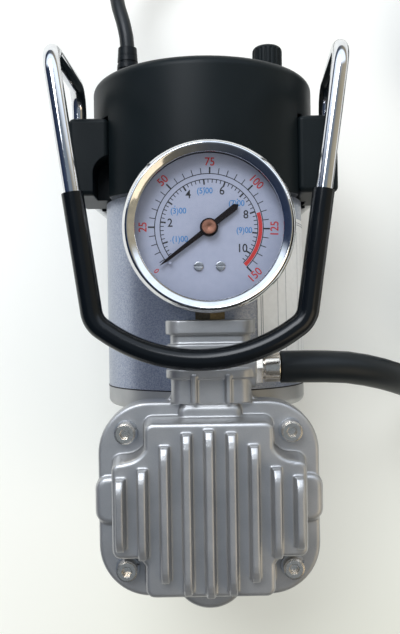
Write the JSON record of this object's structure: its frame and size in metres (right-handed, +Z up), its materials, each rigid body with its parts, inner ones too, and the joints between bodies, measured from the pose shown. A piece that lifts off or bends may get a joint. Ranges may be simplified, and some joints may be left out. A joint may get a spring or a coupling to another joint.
{
  "type": "portable tire inflator",
  "caption": "Portable 12 V tire inflator: motor barrel with a finned cylinder head in front, round pressure gauge on top, wire carry handle, air hose with lever chuck, and a cord with a plug.",
  "frame": {"origin": "on the floor, under the middle of the body without its hose and cord", "axes": "+Z up; +Y along the motor's axis, from the cylinder head at the front to the end cap at the rear; +X to the side that the air hose leaves"},
  "size_m": [0.2861, 0.268, 0.1205],
  "materials": {
    "cap_plastic": "satin moulded black nylon",
    "screw_steel": "zinc plated steel",
    "can_paint": "silver-blue metallic lacquer with fine flakes",
    "ferrite": null,
    "plate_zinc": "plain pressed plate",
    "bright_steel": "ground steel",
    "winding_copper": "enamelled copper over laminations",
    "black_plastic": "moulded black plastic",
    "brass": "plain brass",
    "carbon": null,
    "cast_aluminium": "die cast, lightly blasted, satin",
    "machined_iron": "machined iron",
    "ptfe": "off-white sealing plastic",
    "sleeve_aluminium": "honed and anodised",
    "seal_rubber": "dark sealing rubber",
    "stainless_bolt": null,
    "gauge_case_paint": "dark grey enamel",
    "bezel_chrome": "bright chrome plate",
    "dial_face": "white enamel with printed scales",
    "clear_lens": "clear",
    "pointer_black": "black enamel with a copper coloured hub",
    "hose_rubber": "smooth black rubber",
    "cord_vinyl": null,
    "rocker_red": "glossy red",
    "handle_chrome": "bright chrome wire",
    "grip_vinyl": "glossy black vinyl sleeve",
    "foot_rubber": "black rubber"
  },
  "bodies": {
    "housing": {"end_cap": "cap_plastic", "cap_screws": "screw_steel", "motor_can": "can_paint", "magnets": "ferrite", "motor_end_plate": "plate_zinc", "shaft_bearings": "bright_steel", "brush_holders": "brass", "brushes": "carbon", "crankcase": "cast_aluminium", "crankcase_cover": "cast_aluminium", "cover_screws": "screw_steel", "cylinder_sleeve": "sleeve_aluminium", "head_gasket": "seal_rubber", "valve_plate": "bright_steel", "valve_reeds": "bright_steel", "cylinder_head": "cast_aluminium", "head_bolts": "stainless_bolt", "bolt_washers": "screw_steel", "gauge_case": "gauge_case_paint", "gauge_bezel": "bezel_chrome", "gauge_dial": "dial_face", "gauge_lens": "clear_lens", "gauge_stem": "brass", "bourdon_tube": "brass", "gauge_movement": "brass", "dial_screws": "screw_steel", "hose_fitting": "bezel_chrome", "air_hose": "hose_rubber", "air_hose_coil": "hose_rubber", "chuck_body": "brass", "chuck_seal": "seal_rubber", "power_cord": "cord_vinyl", "power_cord_coil": "cord_vinyl", "cord_gland": "cord_vinyl", "plug_body": "black_plastic", "plug_contacts": "bezel_chrome", "rocker_housing": "black_plastic", "fuse_holder": "black_plastic", "fuse": "clear_lens", "handle_frame": "handle_chrome", "handle_grip": "grip_vinyl", "handle_clamps": "cap_plastic", "clamp_screws": "screw_steel", "foot_sleeve": "foot_rubber", "front_feet": "foot_rubber"},
    "crank": {"motor_shaft": "bright_steel", "armature_core": "winding_copper", "commutator": "winding_copper", "motor_fan": "black_plastic", "crank_web": "machined_iron"},
    "piston": {"connecting_rod": "cast_aluminium", "rod_bearing": "bright_steel", "crank_pin": "bright_steel", "piston_cup": "ptfe", "cup_retainer": "cast_aluminium"},
    "pointer": {"gauge_pointer": "pointer_black"},
    "rocker": {"rocker_switch": "rocker_red"},
    "fuse_cap_body": {"fuse_cap": "cap_plastic"},
    "plug_tip_body": {"plug_tip": "bezel_chrome"},
    "lever": {"chuck_lever": "brass"}
  },
  "joints": [
    {"name": "crank_spin", "type": "hinge", "parent": "housing", "child": "crank", "pos_m": [0, 0, 0.05], "axis": [0, 1, 0], "continuous": true},
    {"name": "piston_slide", "type": "slide", "parent": "housing", "child": "piston", "axis": [0, 0, 1], "range_m": [0, 0.018]},
    {"name": "pointer_turn", "type": "hinge", "parent": "housing", "child": "pointer", "pos_m": [0.0012, 0.02598, 0.109], "axis": [0, 0, -1], "range_deg": [0, 262]},
    {"name": "rocker_tip", "type": "hinge", "parent": "housing", "child": "rocker", "pos_m": [0, 0.08668, 0.058], "axis": [1, 0, 0], "range_deg": [0, 22]},
    {"name": "fuse_cap_turn", "type": "hinge", "parent": "housing", "child": "fuse_cap_body", "pos_m": [0.0255, 0.09118, 0.065], "axis": [0, 1, 0], "range_deg": [0, 90]},
    {"name": "plug_tip_press", "type": "slide", "parent": "housing", "child": "plug_tip_body", "axis": [0, 1, 0], "range_m": [0, 0.003], "stiffness_N_per_m": 300, "springref_m": -0.002},
    {"name": "chuck_lever_lift", "type": "hinge", "parent": "housing", "child": "lever", "pos_m": [0.1141, -0.02498, 0.0394], "axis": [0.9994, -0.0349, 0], "range_deg": [0, 90]}
  ]
}
